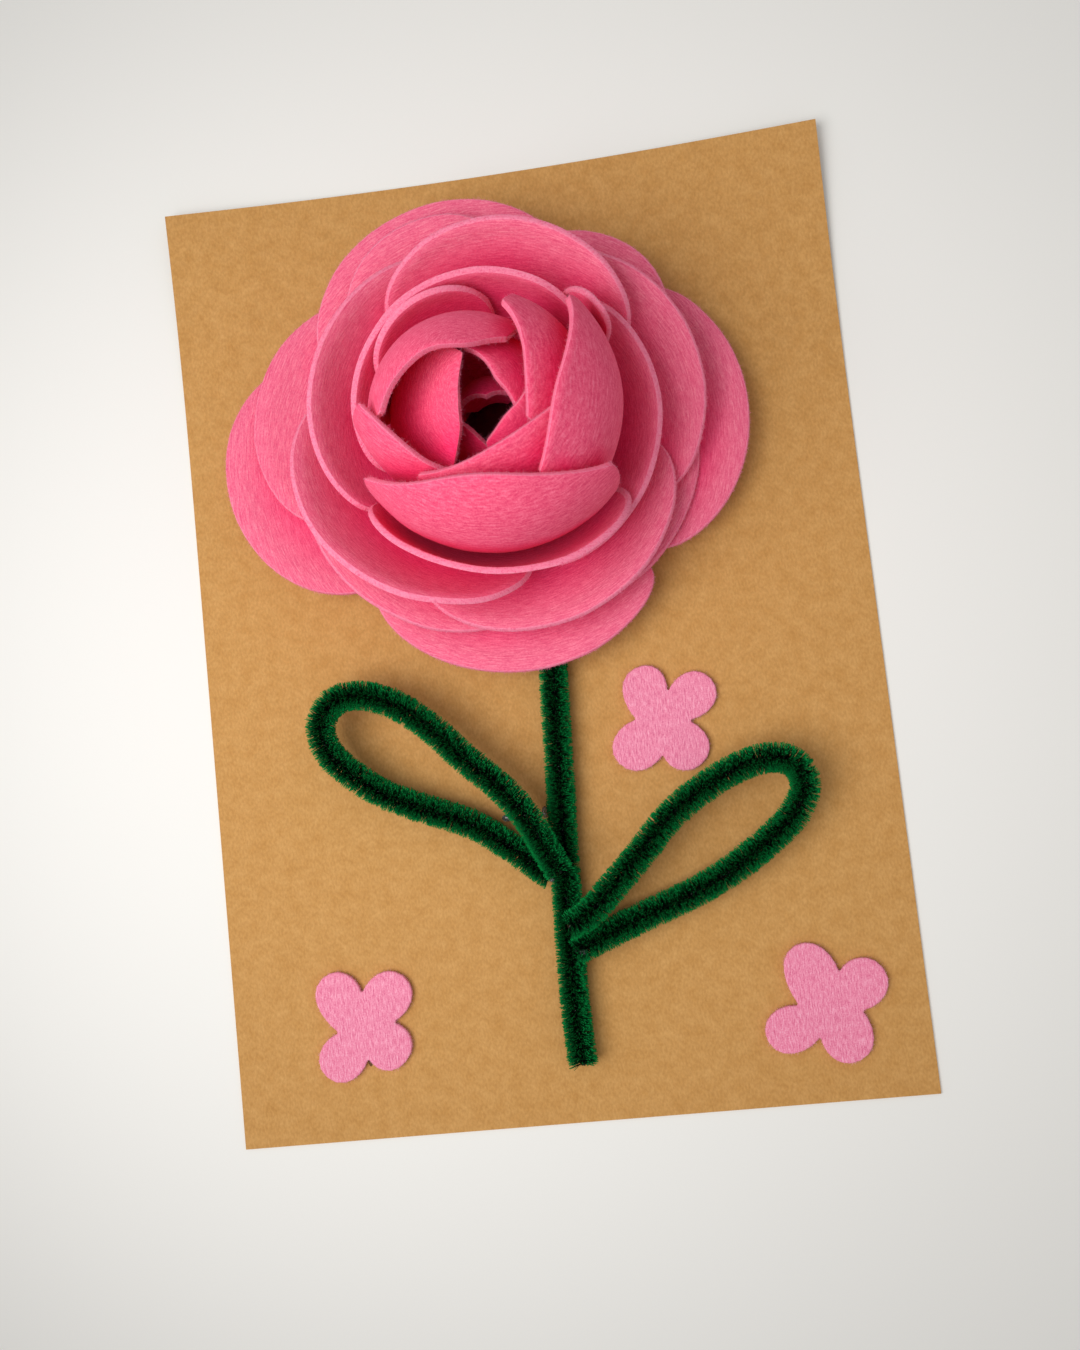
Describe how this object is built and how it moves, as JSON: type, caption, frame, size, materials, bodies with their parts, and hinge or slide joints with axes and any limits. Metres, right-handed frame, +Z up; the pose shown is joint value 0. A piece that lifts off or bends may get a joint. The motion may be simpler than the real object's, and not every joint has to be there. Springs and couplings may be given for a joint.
{
  "type": "felt flower card",
  "caption": "Handmade flower card: a layered felt rose with a fuzzy chenille stem, looped chenille leaves and small felt blossoms glued to a flat kraft card.",
  "frame": {"origin": "middle of the card's underside, which is the bottom centre of the bounding box", "axes": "+Z up out of the card's front, +Y towards the card's top edge, where the rose is, +X towards its right edge"},
  "size_m": [0.148, 0.21, 0.0558],
  "materials": {
    "kraft_card": "matt, mottled brown kraft board with fine flecks",
    "rose_felt": "matt, fuzzy rose-pink felt",
    "pale_felt": "matt, fuzzy pale pink felt",
    "chenille": "dark green chenille pile",
    "wire": "bare twisted wire",
    "glue": "clear set hot glue"
  },
  "bodies": {
    "root": {"card": "kraft_card", "rose_glue": "glue", "heart_petal_1": "rose_felt", "heart_petal_2": "rose_felt", "bud_petal_1": "rose_felt", "bud_petal_2": "rose_felt", "bud_petal_3": "rose_felt", "bud_petal_4": "rose_felt", "bud_petal_5": "rose_felt", "bud_petal_6": "rose_felt", "bud_petal_7": "rose_felt", "bud_petal_8": "rose_felt", "bud_petal_9": "rose_felt", "cup_petal_1": "rose_felt", "cup_petal_2": "rose_felt", "cup_petal_3": "rose_felt", "cup_petal_4": "rose_felt", "cup_petal_5": "rose_felt", "open_petal_1": "rose_felt", "open_petal_2": "rose_felt", "open_petal_3": "rose_felt", "open_petal_4": "rose_felt", "open_petal_5": "rose_felt", "open_petal_6": "rose_felt", "open_petal_7": "rose_felt", "open_petal_8": "rose_felt", "skirt_petal_1": "rose_felt", "skirt_petal_2": "rose_felt", "skirt_petal_3": "rose_felt", "skirt_petal_4": "rose_felt", "skirt_petal_5": "rose_felt", "skirt_petal_6": "rose_felt", "stem": "chenille", "stem_wire": "wire", "left_leaf": "chenille", "left_leaf_wire": "wire", "right_leaf": "chenille", "right_leaf_wire": "wire", "small_flower_1": "pale_felt", "small_flower_2": "pale_felt", "small_flower_3": "pale_felt"}
  },
  "joints": []
}
